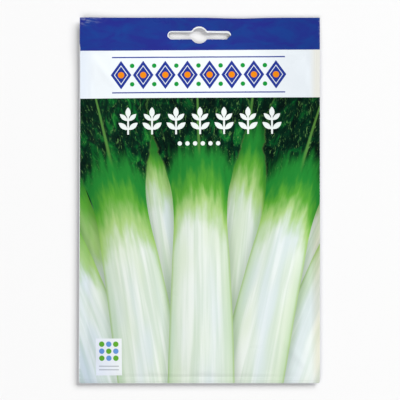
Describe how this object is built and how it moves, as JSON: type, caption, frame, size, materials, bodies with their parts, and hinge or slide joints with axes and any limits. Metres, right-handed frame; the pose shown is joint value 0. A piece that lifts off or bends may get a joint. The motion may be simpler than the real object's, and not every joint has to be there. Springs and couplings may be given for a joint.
{
  "type": "seed packet",
  "caption": "Flat heat-sealed seed packet of printed laminate with a punched hang slot in its header and loose seeds inside.",
  "frame": {"origin": "on the surface that the packet lies on, under the centre of its outline", "axes": "+X to the right across the printed face, +Y towards the hanging edge, +Z out of the printed face"},
  "size_m": [0.12, 0.1822, 0.0054],
  "materials": {
    "printed_laminate": "satin print on white laminate",
    "back_laminate": "satin white laminate",
    "seed_husk": "dull ribbed husk"
  },
  "bodies": {
    "root": {"front_web": "printed_laminate", "back_web": "back_laminate", "seeds": "seed_husk"}
  },
  "joints": []
}
